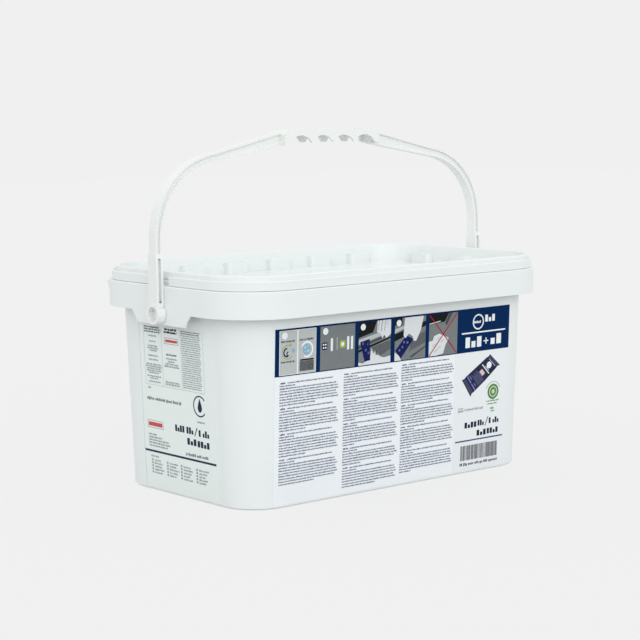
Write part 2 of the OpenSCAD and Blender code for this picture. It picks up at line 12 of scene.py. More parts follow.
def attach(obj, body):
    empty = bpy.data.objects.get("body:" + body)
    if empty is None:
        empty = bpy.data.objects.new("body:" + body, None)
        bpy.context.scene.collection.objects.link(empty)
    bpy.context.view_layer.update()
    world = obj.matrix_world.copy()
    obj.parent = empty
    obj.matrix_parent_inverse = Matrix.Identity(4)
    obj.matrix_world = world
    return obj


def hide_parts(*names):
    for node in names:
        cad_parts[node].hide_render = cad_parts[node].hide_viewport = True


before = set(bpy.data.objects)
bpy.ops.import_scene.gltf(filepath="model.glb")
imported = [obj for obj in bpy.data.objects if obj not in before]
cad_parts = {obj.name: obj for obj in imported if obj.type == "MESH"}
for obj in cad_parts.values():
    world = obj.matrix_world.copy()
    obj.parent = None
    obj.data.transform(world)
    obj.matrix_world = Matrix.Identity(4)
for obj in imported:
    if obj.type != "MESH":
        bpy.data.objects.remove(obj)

bl_info = {
    "name": "Oven Cleaning Tablet Tub",
    "version": (1, 0, 0),
    "blender": (4, 5, 0),
    "location": "3D View > Sidebar > Tablet Tub",
    "description": "Dresses a tablet tub with plastics, label films, print and wrapped tablets",
    "category": "Object",
}

bpy.context.view_layer.update()

# The tub's wall: corner centres, corner radius at the foot and its spread up to the skirt
CORNER_X, CORNER_Y = 0.121, 0.0545
FOOT_R, SPREAD, SKIRT_Z = 0.0312, 0.0058, 0.1478

# Heights of print above the wall, in millimetres: on a film, on the banner, and over those
ON_FILM = (0.29, 0.41)
ON_BANNER = (0.43, 0.47)
OVER = (0.47, 0.51)
TOP = (0.51, 0.55)
CROWN = (0.55, 0.59)

# Underside of the tub's floor, top of the lid's panel, and the marks' relief on both in millimetres
BASE_Z, PANEL_Z = 0.0016, 0.164
MARK = (-0.2, 0.3)

# Tiles on the banner: their low edge and height
TILE_LOW, TILE_TALL = 103.0, 34.2

# Clouds in the colour of the mouldings; how much smoother the lid is and how much rougher the handle
MOULDED = {"cloud": 0.012, "cloud_size": 0.09}
LID_SMOOTHER, HANDLE_ROUGHER = 0.13, 0.06

# The camera as it was fitted to the photo: place, lens shift, and yaw, pitch and roll in degrees
CAMERA_AT = (-0.9738, -1.1319, 0.3003)
CAMERA_SHIFT = (0.01406, 0.0033)
CAMERA_TURN = (40.2, 6.64, -0.55)

# Share of the floor that shows as plain backdrop, and how much brighter it is where the floor is darker
FLOOR_GLOW, FLOOR_LIFT = 0.8, 0.26


def paint(red, green, blue):
    """A colour as it is seen on a screen, 0 to 255, as Blender's linear colour."""
    levels = [c / 255 for c in (red, green, blue)]
    return tuple(round(c / 12.92 if c <= 0.04045 else ((c + 0.055) / 1.055) ** 2.4, 4) for c in levels)


def colour_prop(name, description, *levels):
    """A colour that the panel shows, given as screen levels."""
    return FloatVectorProperty(name=name, description=description, subtype="COLOR", size=3,
                               min=0.0, max=1.0, default=paint(*levels))


class TubPlastics(bpy.types.PropertyGroup):
    """Colours and edges of the tub, lid and handle."""
    tub: colour_prop("Tub", "Colour of the tub's plastic", 237, 242, 242)
    lid: colour_prop("Lid", "Colour of the lid's plastic", 236, 240, 240)
    handle: colour_prop("Handle", "Colour of the handle's plastic", 240, 242, 240)
    roughness: FloatProperty(name="Roughness", description="How matt the plastics are",
                             default=0.34, min=0.0, max=1.0, subtype="FACTOR")
    depth: FloatProperty(name="Handle Depth", description="How far light spreads inside the handle",
                         default=0.0, min=0.0, max=0.02, subtype="DISTANCE", unit="LENGTH")
    edge: FloatProperty(name="Edge Radius", description="Radius of the mouldings' soft edges",
                        default=0.0004, min=0.0, max=0.002, subtype="DISTANCE", unit="LENGTH")


class TubPrint(bpy.types.PropertyGroup):
    """Colours of the label films and their print."""
    label: colour_prop("Label Film", "Colour of the front label", 242, 246, 250)
    panel: colour_prop("Side Panel", "Colour of the front label's right part", 237, 241, 243)
    end: colour_prop("End Film", "Colour of the label on the left end", 238, 245, 243)
    banner: colour_prop("Banner", "Colour of the banner", 0, 40, 86)
    pale: colour_prop("Pale Print", "White of the banner's print", 238, 242, 245)
    dark: colour_prop("Dark Print", "Colour of large dark print", 34, 44, 70)
    small: colour_prop("Small Print", "Colour of the rows of small print", 132, 141, 158)
    green: colour_prop("Green Print", "Colour of the green fields", 94, 138, 84)
    red: colour_prop("Red Print", "Colour of the red strokes", 168, 26, 58)


class TubTablets(bpy.types.PropertyGroup):
    """Wrapping films of the tablets."""
    cleaner: colour_prop("Cleaner Wrap", "Film of the cleaning tablets", 38, 52, 98)
    rinse: colour_prop("Rinse Wrap", "Film of the rinse tablets", 92, 140, 70)
    crimps: IntProperty(name="Crimps", description="Folds across each sealed end",
                        default=2, min=0, max=6)


class TubStage(bpy.types.PropertyGroup):
    """Floor, backdrop and light."""
    backdrop: colour_prop("Backdrop", "Colour behind and under the tub", 240, 240, 240)
    ambient: FloatProperty(name="Ambient", description="Light that comes from all around",
                           default=0.94, min=0.0)
    lamp: FloatProperty(name="Lamp", description="Strength of the soft light from the front",
                        default=0.5, min=0.0)
    glint: FloatProperty(name="Glint", description="Strength of the smaller light beside the camera",
                         default=0.22, min=0.0)
    bounce: FloatProperty(name="Bounce", description="Share of its light that the floor gives back",
                          default=0.7, min=0.0, max=1.0, subtype="FACTOR")
    lens: FloatProperty(name="Lens", description="Focal length of the camera in millimetres",
                        default=101.1, min=10.0)


def new_object(name, bm, material, body, slot, *replaced, smooth=False):
    """Makes a bmesh into a piece that rides on a body and stands for CAD nodes."""
    bmesh.ops.recalc_face_normals(bm, faces=bm.faces[:])
    mesh = bpy.data.meshes.new(name)
    bm.to_mesh(mesh)
    bm.free()
    mesh.materials.append(material)
    for face in mesh.polygons:
        face.use_smooth = smooth
    piece = bpy.data.objects.new(name, mesh)
    bpy.context.collection.objects.link(piece)
    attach(piece, body)
    if replaced:
        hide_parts(*replaced)
    return piece


def add_node(nodes, kind, **values):
    """A shader node with its inputs set by name, an underscore for each space."""
    node = nodes.new(f"ShaderNode{kind}")
    for name, value in values.items():
        node.inputs[name.replace("_", " ")].default_value = value
    return node


def set_inputs(shader, **values):
    """Sets a shader's own inputs by name, an underscore for each space."""
    for name, value in values.items():
        shader.inputs[name.replace("_", " ")].default_value = value


def finish(name, colour, roughness, cloud=0.02, cloud_size=0.05, grain=0.0, grain_size=0.0006,
           streak=0.0, gloss=0.5, depth=0.0):
    """A plastic or printed film: clouds in its colour, patchy gloss, fine grain and flow streaks."""
    material = bpy.data.materials.new(name)
    material.use_nodes = True
    nodes, links = material.node_tree.nodes, material.node_tree.links
    shader = nodes["Principled BSDF"]
    set_inputs(shader, IOR=1.49, Specular_IOR_Level=gloss)
    if depth:
        set_inputs(shader, Subsurface_Weight=0.8, Subsurface_Radius=(1.0, 1.0, 1.0), Subsurface_Scale=depth)
    place = nodes.new("ShaderNodeTexCoord").outputs["Object"]
    clouds = add_node(nodes, "TexNoise", Scale=1 / cloud_size, Detail=4)
    links.new(place, clouds.inputs["Vector"])
    tint = nodes.new("ShaderNodeMix")
    tint.data_type = "RGBA"
    tint.inputs["A"].default_value = (*[c * (1 - cloud) for c in colour], 1)
    tint.inputs["B"].default_value = (*[min(c * (1 + cloud), 1) for c in colour], 1)
    links.new(clouds.outputs["Fac"], tint.inputs["Factor"])
    links.new(tint.outputs["Result"], shader.inputs["Base Color"])
    patches = add_node(nodes, "MapRange", To_Min=roughness - 0.1, To_Max=roughness + 0.1)
    links.new(clouds.outputs["Fac"], patches.inputs["Value"])
    links.new(patches.outputs["Result"], shader.inputs["Roughness"])
    if grain or streak:
        fine = add_node(nodes, "TexNoise", Scale=1 / grain_size, Detail=2)
        links.new(place, fine.inputs["Vector"])
        last = add_node(nodes, "Bump", Strength=grain, Distance=grain_size * 0.1)
        links.new(fine.outputs["Fac"], last.inputs["Height"])
        if streak:
            stretch = add_node(nodes, "Mapping", Scale=(60, 60, 9))
            links.new(place, stretch.inputs["Vector"])
            flow = add_node(nodes, "TexNoise", Scale=1, Detail=3)
            links.new(stretch.outputs["Vector"], flow.inputs["Vector"])
            wave = add_node(nodes, "Bump", Strength=streak, Distance=0.0004)
            links.new(flow.outputs["Fac"], wave.inputs["Height"])
            links.new(last.outputs["Normal"], wave.inputs["Normal"])
            last = wave
        links.new(last.outputs["Normal"], shader.inputs["Normal"])
    return material


def dress(node, material):
    """Gives a CAD node its finish."""
    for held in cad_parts[node].material_slots:
        held.link = "OBJECT"
        held.material = material


def soften(node, edge, angle=32):
    """Soft moulded edges over a CAD node's own mesh."""
    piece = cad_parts[node]
    weld = piece.modifiers.new("Weld", "WELD")
    weld.merge_threshold = 0.00001
    round_over = piece.modifiers.new("Soft Edges", "BEVEL")
    round_over.width = edge
    round_over.segments = 2
    round_over.limit_method = "ANGLE"
    round_over.angle_limit = math.radians(angle)
    round_over.harden_normals = False
    even = piece.modifiers.new("Even Shade", "WEIGHTED_NORMAL")
    even.keep_sharp = False


class TABTUB_OT_plastics(bpy.types.Operator):
    """Give the tub, lid and handle soft edges and satin plastics"""
    bl_idname = "tabtub.plastics"
    bl_label = "Mouldings"

    def execute(self, context):
        look = context.scene.tub_plastics
        for node, colour, rough, streak, depth in (
                ("tub", look.tub, look.roughness, 0.12, 0),
                ("lid", look.lid, look.roughness - LID_SMOOTHER, 0.12, 0),
                ("handle", look.handle, look.roughness + HANDLE_ROUGHER, 0.04, look.depth)):
            dress(node, finish(f"satin_{node}", colour, rough, grain=0.12, streak=streak, depth=depth, **MOULDED))
            soften(node, look.edge)
        return {"FINISHED"}


def wall_r(z):
    """The corner radius of the tub's wall at a height."""
    return FOOT_R + SPREAD * z / SKIRT_Z


def onto_front(u, z, lift):
    """A point of a drawing on the front wall: u to the right, z up, lift above the wall."""
    r = wall_r(z) + lift
    past = max(abs(u) - CORNER_X, 0.0)
    return Vector((u, -(CORNER_Y + math.sqrt(r * r - past * past)), z))


def onto_end(u, z, lift):
    """A point of a drawing on the left end, as it is seen from that end."""
    r = wall_r(z) + lift
    past = max(abs(u) - CORNER_Y, 0.0)
    return Vector((-(CORNER_X + math.sqrt(r * r - past * past)), -u, z))


def onto_base(u, v, lift):
    """A point of a drawing under the tub's floor, lift below it."""
    return Vector((-u, v, BASE_Z - lift))


def onto_panel(u, v, lift):
    """A point of a drawing on the lid's panel, lift above it."""
    return Vector((u, v, PANEL_Z + lift))


class Drawing:
    """Flat shapes in one colour, in millimetres, that are laid on a wall as a thin print."""

    def __init__(self):
        self.bm = bmesh.new()
        self.origin = (0.0, 0.0)

    def place(self, u, z):
        """A point from the drawing's present origin."""
        return self.origin[0] + u, self.origin[1] + z, 0.0

    def outline(self, points, corner=0.0):
        """A closed shape through points, with rounded corners."""
        verts = [self.bm.verts.new(self.place(u, z)) for u, z in points]
        self.bm.faces.new(verts)
        if corner:
            bmesh.ops.bevel(self.bm, geom=verts, offset=corner, affect="VERTICES", segments=4,
                            profile=0.5, material=-1)

    def box(self, u0, z0, u1, z1, corner=0.0):
        """An upright rectangle, with rounded corners."""
        self.outline([(u0, z0), (u1, z0), (u1, z1), (u0, z1)], corner)

    def disc(self, u, z, r, steps=28):
        """A full disc."""
        bmesh.ops.create_circle(self.bm, cap_ends=True, segments=steps, radius=r,
                                matrix=Matrix.Translation(self.place(u, z)))

    def ring(self, u, z, outer, inner, start=0, stop=360, steps=32):
        """A band round a point, from one angle to another."""
        way = Vector((math.cos(math.radians(start)), math.sin(math.radians(start)), 0))
        centre = Vector(self.place(u, z))
        ends = [self.bm.verts.new(centre + way * r) for r in (inner, outer)]
        edge = self.bm.edges.new(ends)
        full = stop - start >= 360
        bmesh.ops.spin(self.bm, geom=[*ends, edge], cent=centre, axis=(0, 0, 1), steps=steps,
                       angle=math.radians(stop - start), use_merge=full, use_duplicate=False)

    def stroke(self, points, width):
        """A line of even width through points."""
        for (u0, z0), (u1, z1) in zip(points, points[1:]):
            run = Vector((u1 - u0, z1 - z0))
            side = Vector((-run.y, run.x)).normalized() * width / 2
            end = run.normalized() * width * 0.3
            ends = ((u0, z0, -1, -1), (u1, z1, 1, -1), (u1, z1, 1, 1), (u0, z0, -1, 1))
            self.outline([(u + end.x * a + side.x * b, z + end.y * a + side.y * b) for u, z, a, b in ends])

    def words(self, u0, z0, u1, height, seed, gap=0.22):
        """A row of small marks that stand for a line of text, u0 to u1 on the base line z0."""
        chance = random.Random(seed)
        at = u0
        while at < u1 - height * 0.6:
            for _ in range(chance.randint(2, 9)):
                wide = height * chance.choice((0.18, 0.38, 0.42, 0.46, 0.6))
                if at + wide > u1:
                    break
                tall = height * chance.choice((0.72, 0.72, 0.72, 1.0, 1.0))
                low = z0 - (height * 0.25 if chance.random() < 0.1 else 0)
                self.box(at, low, at + wide, z0 + tall)
                at += wide + height * gap * 0.55
            at += height * 0.38

    def blocks(self, u0, z0, u1, height, kinds):
        """A row of solid blocks that fills u0 to u1: T a tall one, L a low one, a space a gap."""
        share = {"T": 0.9, "L": 0.8, " ": 0.5}
        gap = 0.32
        unit = (u1 - u0) / (sum(share[kind] for kind in kinds) + gap * (len(kinds) - 1))
        at = u0
        for kind in kinds:
            right = at + unit * share[kind]
            if kind != " ":
                self.box(at, z0, right, z0 + height * (1 if kind == "T" else 0.6))
            at = right + unit * gap

    def lay(self, name, onto, levels, material, slot, *replaced, body="tub_body"):
        """Wraps the drawing onto a wall, from one height above it to another."""
        bm = self.bm
        if onto is onto_front:
            for cut in (CORNER_X, CORNER_X + 0.0025, CORNER_X + 0.005):
                for side in (-1000, 1000):
                    bmesh.ops.bisect_plane(bm, geom=bm.verts[:] + bm.edges[:] + bm.faces[:],
                                           plane_co=(cut * side, 0, 0), plane_no=(1, 0, 0))
        grown = bmesh.ops.extrude_face_region(bm, geom=bm.faces[:], use_keep_orig=True)
        tops = {part for part in grown["geom"] if isinstance(part, bmesh.types.BMVert)}
        low, high = levels
        for vert in bm.verts:
            lift = (high if vert in tops else low) / 1000
            vert.co = onto(vert.co.x / 1000, vert.co.y / 1000, lift)
        return new_object(name, bm, material, body, slot, *replaced)


def print_finish(name, colour, cloud=0.04, cloud_size=0.004):
    """Matt ink on a film."""
    return finish(name, colour, 0.4, cloud=cloud, cloud_size=cloud_size, gloss=0.04)


class TABTUB_OT_marks(bpy.types.Operator):
    """Raise the marks of gate, ejectors and mould dial under the floor and on the lid's panel"""
    bl_idname = "tabtub.marks"
    bl_label = "Mould Marks"

    def execute(self, context):
        look = context.scene.tub_plastics
        base, panel = Drawing(), Drawing()
        for sheet in (base, panel):
            sheet.disc(0, 0, 1.9, 24)
            sheet.ring(0, 0, 6.2, 5.7)
        for u in (-96, 0, 96):
            for v in (-46, 46):
                base.ring(u, v, 5.0, 4.6)
        dial = Vector((52, 0))
        base.ring(*dial, 9.0, 8.4, 0, 360, 40)
        base.ring(*dial, 3.4, 3.0)
        for step in range(12):
            way = Vector((math.sin(math.tau * step / 12), math.cos(math.tau * step / 12)))
            base.stroke([tuple(dial + way * 5.6), tuple(dial + way * 7.2)], 0.5)
        base.stroke([tuple(dial - Vector((0, 2.2))), tuple(dial + Vector((0, 2.2)))], 0.7)
        base.lay("base_marks", onto_base, MARK, finish("satin_base_marks", look.tub, look.roughness, **MOULDED),
                 "tub_plastic")
        panel.lay("panel_mark", onto_panel, MARK,
                  finish("satin_panel_mark", look.lid, look.roughness - LID_SMOOTHER, **MOULDED),
                  "lid_plastic", body="lid_body")
        return {"FINISHED"}


class TABTUB_OT_films(bpy.types.Operator):
    """Give the label films and the banner their finish"""
    bl_idname = "tabtub.films"
    bl_label = "Label Films"

    def execute(self, context):
        look = context.scene.tub_print
        for node, name, colour in (("front_label", "front_film", look.label),
                                   ("front_side_panel", "panel_film", look.panel),
                                   ("end_label", "end_film", look.end)):
            dress(node, finish(name, colour, 0.36, cloud=0.012, cloud_size=0.03, grain=0.1))
        dress("front_banner", finish("banner_ink", look.banner, 0.38, cloud=0.05, cloud_size=0.012,
                                     grain=0.08, gloss=0.04))
        return {"FINISHED"}


def draw_panels(sheet, wide, top):
    """First tile: two light panels, a ring on each and a dark box."""
    sheet("white", "base").box(0, 0, wide, top)
    sheet("light_grey", "over").box(0.4, 0.4, 17.2, top - 0.3)
    sheet("light_grey", "over").box(18.4, 0.4, wide - 0.4, top - 0.3)
    sheet("white", "top").disc(5.0, top - 3.9, 2.7)
    sheet("green", "top").ring(7.8, 17.6, 5.7, 4.9, 60, 330)
    sheet("green", "top").disc(10.6, 22.8, 1.0, 14)
    sheet("navy", "top").ring(7.3, 17.4, 3.7, 2.5, 90, 285)
    sheet("navy", "top").ring(8.6, 16.4, 1.9, 1.0, 90, 285, 12)
    sheet("sky", "top").disc(13.4, 18.4, 1.7)
    sheet("white", "top").ring(27.0, 18.2, 6.4, 5.0, -120, 150)
    sheet("sky", "top").disc(26.6, 18.2, 3.9)
    for u, z, size in ((25.0, 19.6, 1.0), (27.6, 20.2, 0.7), (28.0, 17.0, 1.1), (25.4, 16.6, 0.6)):
        sheet("pale_sky", "crown").disc(u, z, size, 16)
    sheet("steel", "top").box(19.8, 1.8, 34.0, 9.6, 0.7)
    sheet("black", "top").box(20.2, 9.8, 33.8, 11.0, 0.3)
    sheet("dark_grey", "crown").ring(31.0, 4.8, 2.1, 1.4)
    for z, seed in ((25.2, 3), (9.6, 5)):
        sheet("dark_grey", "top").words(1.6, z, 14.8, 1.3, seed)
    sheet("dark_grey", "top").words(19.6, 25.4, 34.6, 1.5, 4)


def draw_bars(sheet, wide, top):
    """Second tile: one bar beside a navy square, two beside a green one."""
    sheet("mid_grey", "base").box(0, 0, wide, top)
    sheet("white", "over").disc(5.2, top - 3.9, 2.7)
    sheet("navy", "over").box(1.8, 15.9, 7.0, 21.7, 0.8)
    for u in (3.3, 5.5):
        for z in (17.6, 20.0):
            sheet("white", "top").disc(u, z, 0.75, 14)
    sheet("white", "over").box(10.6, 14.3, 12.8, 24.6, 0.9)
    sheet("cloth", "over").box(16.9, 14.8, 17.3, 24.6)
    sheet("green", "over").box(19.9, 16.0, 25.7, 21.8, 0.9)
    sheet("white", "top").disc(22.8, 18.9, 1.6, 18)
    for u in (27.4, 31.4):
        sheet("white", "over").box(u, 14.0, u + 2.2, 24.6, 0.9)


def draw_hatch(sheet, wide, top):
    """Third tile: an open hatch with a gloved hand, a sachet and a frayed cloth."""
    sheet("mid_grey", "base").box(0, 0, wide, top)
    sheet("black", "over").outline([(0, top), (19, top), (15, 25.4), (0, 22)])
    sheet("light_grey", "over").outline([(0, 20.5), (wide, 27), (wide, 24.2), (0, 16.6)])
    sheet("dark_grey", "over").outline([(0, 15.6), (wide, 23.4), (wide, 21.8), (0, 13.4)])
    sheet("black", "over").outline([(0, 12.4), (wide, 20.6), (wide, 19.2), (0, 10.4)])
    sheet("steel", "over").outline([(14, 13.4), (wide, 17.8), (wide, 10.6), (24, 6.2), (17.6, 7.4)], 0.8)
    sheet("cloth", "top").outline([(19.6, top), (wide, top), (wide, 22.4), (29, 19.6), (26.8, 22.6), (25, 19.4),
                                   (22.6, 24.4), (19, 24.8)], 0.7)
    for u, drop in ((21.6, 7.4), (24.8, 8.8), (28.4, 8.2), (31.0, 4.6)):
        sheet("dark_grey", "top").stroke([(u, top), (u - 1.4, top - drop)], 0.55)
    sheet("navy", "top").outline([(1.4, 18.6), (11.4, 20.4), (12.4, 3.4), (6.4, 2.8)])
    for u, z in ((3.6, 16.2), (8.4, 15.4), (6.6, 10.8), (9.6, 8.2)):
        sheet("violet", "top").box(u, z, u + 1.9, z + 2.1, 0.4)
    sheet("cloth", "over").outline([(0, 0), (wide, 0), (wide, 5.2), (27, 4.2), (22.4, 5.6), (20.4, 8.8), (19.2, 6.4),
                                    (17.2, 11.2), (15.4, 8), (13.6, 12.8), (12, 4.4), (4.6, 1.4), (0, 2.6)])
    sheet("white", "top").disc(4.4, top - 3.9, 2.6)


def draw_hand(sheet, wide, top):
    """Fourth tile: a gloved hand that lays a sachet into the hatch."""
    sheet("mid_grey", "base").box(0, 0, wide, top)
    sheet("black", "over").outline([(0, 21.6), (wide, top - 4.2), (wide, top - 8.2), (0, 15.8)])
    sheet("light_grey", "over").outline([(0, 25.6), (10, 27.8), (10, 25.6), (0, 22.4)])
    sheet("black", "over").box(0, 28.6, 8, top)
    sheet("dark_grey", "over").outline([(17, 2.4), (wide, 9.6), (wide, 8.4), (18, 0.8)])
    sheet("steel", "over").outline([(18, 16.4), (wide, 22), (wide, 12.6), (16, 6.4)])
    sheet("cloth", "top").outline([(10.6, top), (31.4, top), (28.2, 22.4), (23.4, 14.4), (20.6, 14.6), (19.4, 18.6),
                                   (15.2, 21), (11.4, 17.4), (9.4, 19.6)], 0.9)
    sheet("navy", "over").outline([(0.6, 8.4), (12.4, 19.8), (20.6, 16.2), (6.8, 1.4)])
    for u, z in ((4.4, 7.4), (7.6, 9.8), (9.2, 13.6), (13.0, 13.0)):
        sheet("violet", "top").box(u, z, u + 1.7, z + 1.8, 0.4)
    sheet("cloth", "top").outline([(0, 0), (7.4, 0), (4.4, 4.2), (0, 7)])
    sheet("white", "top").disc(4.2, top - 3.9, 2.6)


def draw_cloth(sheet, wide, top):
    """Fifth tile: a crumpled cloth beside a dark hatch, crossed out."""
    sheet("mid_grey", "base").box(0, 0, wide, top)
    sheet("black", "over").outline([(0, top), (22, top), (17.4, 27.4), (9, 26.8), (0, 25.8)])
    sheet("dark_grey", "over").outline([(22.4, top), (26.4, top), (20, 24.2), (17.8, 26.2)])
    sheet("white", "top").stroke([(0.4, 26.6), (12.4, 28.2)], 0.6)
    sheet("cloth", "over").outline([(0, 0.2), (7.4, 0), (16.4, 1.2), (18.6, 7.6), (22.4, 13.6), (17.2, 15.8),
                                    (11.4, 18), (5.4, 16.2), (4.4, 12.6), (0, 12.4)], 0.7)
    for u, z in ((4, 8), (9.6, 5.4), (13.4, 11), (6.4, 3.0), (8.8, 13.2)):
        sheet("light_grey", "top").stroke([(u, z), (u + 3.4, z + 1.9)], 0.8)
    for low, high in ((0.8, top - 0.8), (top - 0.8, 0.8)):
        sheet("red", "top").stroke([(0.8, low), (wide - 0.8, high)], 0.95)


def draw_field(sheet, wide, top):
    """The banner's right field: a ring, a short row, a rule and a row of large blocks."""
    white = sheet("white", "base")
    white.ring(24.2, 24.0, 6.5, 5.3, 0, 360, 40)
    white.words(19.2, 23.0, 28.2, 2.0, 11)
    white.blocks(32.2, 23.4, 43.6, 5.8, "TLT")
    white.box(5.2, 14.7, wide, 15.9)
    white.blocks(9.8, 3.0, 28.4, 8.8, "TLT")
    white.box(31.2, 6.8, 36.6, 7.9)
    white.box(33.3, 4.7, 34.5, 10.0)
    white.blocks(39.4, 3.8, 51.8, 8.6, "LT")


# Left edge and width of each picture on the banner
PICTURES = ((draw_panels, -125.4, 36.2), (draw_bars, -85.0, 35.6), (draw_hatch, -45.4, 34.0),
            (draw_hand, -6.9, 33.9), (draw_cloth, 30.9, 32.3), (draw_field, 63.2, 56.6))


class TABTUB_OT_tiles(bpy.types.Operator):
    """Print the row of picture tiles and the banner's right field"""
    bl_idname = "tabtub.tiles"
    bl_label = "Picture Tiles"

    def execute(self, context):
        look = context.scene.tub_print
        levels = {"base": ON_BANNER, "over": OVER, "top": TOP, "crown": CROWN}
        inks = {
            "light_grey": paint(190, 194, 194), "mid_grey": paint(124, 129, 131), "dark_grey": paint(78, 83, 86),
            "black": paint(26, 28, 30), "white": look.pale, "navy": paint(24, 34, 88),
            "red": look.red, "green": paint(158, 186, 74), "sky": paint(136, 178, 206),
            "cloth": paint(222, 226, 229), "steel": paint(98, 101, 104), "violet": paint(112, 116, 176),
            "pale_sky": paint(186, 208, 220),
        }
        speckle = {"mid_grey": 0.16, "dark_grey": 0.3, "black": 0.6, "navy": 0.4, "steel": 0.35}
        sheets, materials = {}, {}
        for draw, left, wide in PICTURES:

            def sheet(ink, level):
                """The drawing in one ink at one level, with its origin at this picture's lower left corner."""
                drawing = sheets.setdefault((ink, level), Drawing())
                drawing.origin = (left, TILE_LOW)
                return drawing

            draw(sheet, wide, TILE_TALL)
        for (ink, level), drawing in sheets.items():
            if ink not in materials:
                materials[ink] = print_finish(f"tile_{ink}", inks[ink], speckle.get(ink, 0.08), 0.0016)
            drawing.lay(f"tile_{ink}_{level}", onto_front, levels[level], materials[ink], "picture_print",
                        "front_pictures")
        return {"FINISHED"}


class TABTUB_OT_small_print(bpy.types.Operator):
    """Print the three columns of small rows under the banner"""
    bl_idname = "tabtub.small_print"
    bl_label = "Small Print"

    def execute(self, context):
        look = context.scene.tub_print
        rows, heads = Drawing(), Drawing()
        pitch, height = 2.12, 1.08
        # Rows in each paragraph; the first two of each are its heading
        columns = (
            (-124.6, -65.2, 97.6, (9, 9, 9, 10)),
            (-60.2, -2.0, 98.2, (9, 9, 9, 7, 8)),
            (1.4, 60.8, 99.4, (7, 8, 8, 9, 9)),
        )
        for number, (left, right, top, paragraphs) in enumerate(columns):
            chance = random.Random(number + 40)
            z = top - height
            for lines in paragraphs:
                for line in range(lines):
                    full = right - left
                    share = (0.9, 0.26)[line] if line < 2 else (0.98, 1.0, 0.96)[line % 3]
                    if line == lines - 1:
                        share = chance.choice((0.22, 0.34, 0.45, 0.6))
                    start = left
                    if line == 0:
                        heads.words(left + 0.6, z, left + 5.6, height * 1.1, number * 100 + lines)
                        start += 7.6
                    rows.words(start, z, left + full * share, height, chance.random())
                    z -= pitch
                z -= pitch * 0.35
        rows.lay("small_rows", onto_front, ON_FILM, print_finish("small_ink", look.small), "small_print",
                 "front_text")
        heads.lay("small_heads", onto_front, ON_FILM, print_finish("heading_ink", paint(96, 104, 120)),
                  "small_print", "front_text")
        return {"FINISHED"}


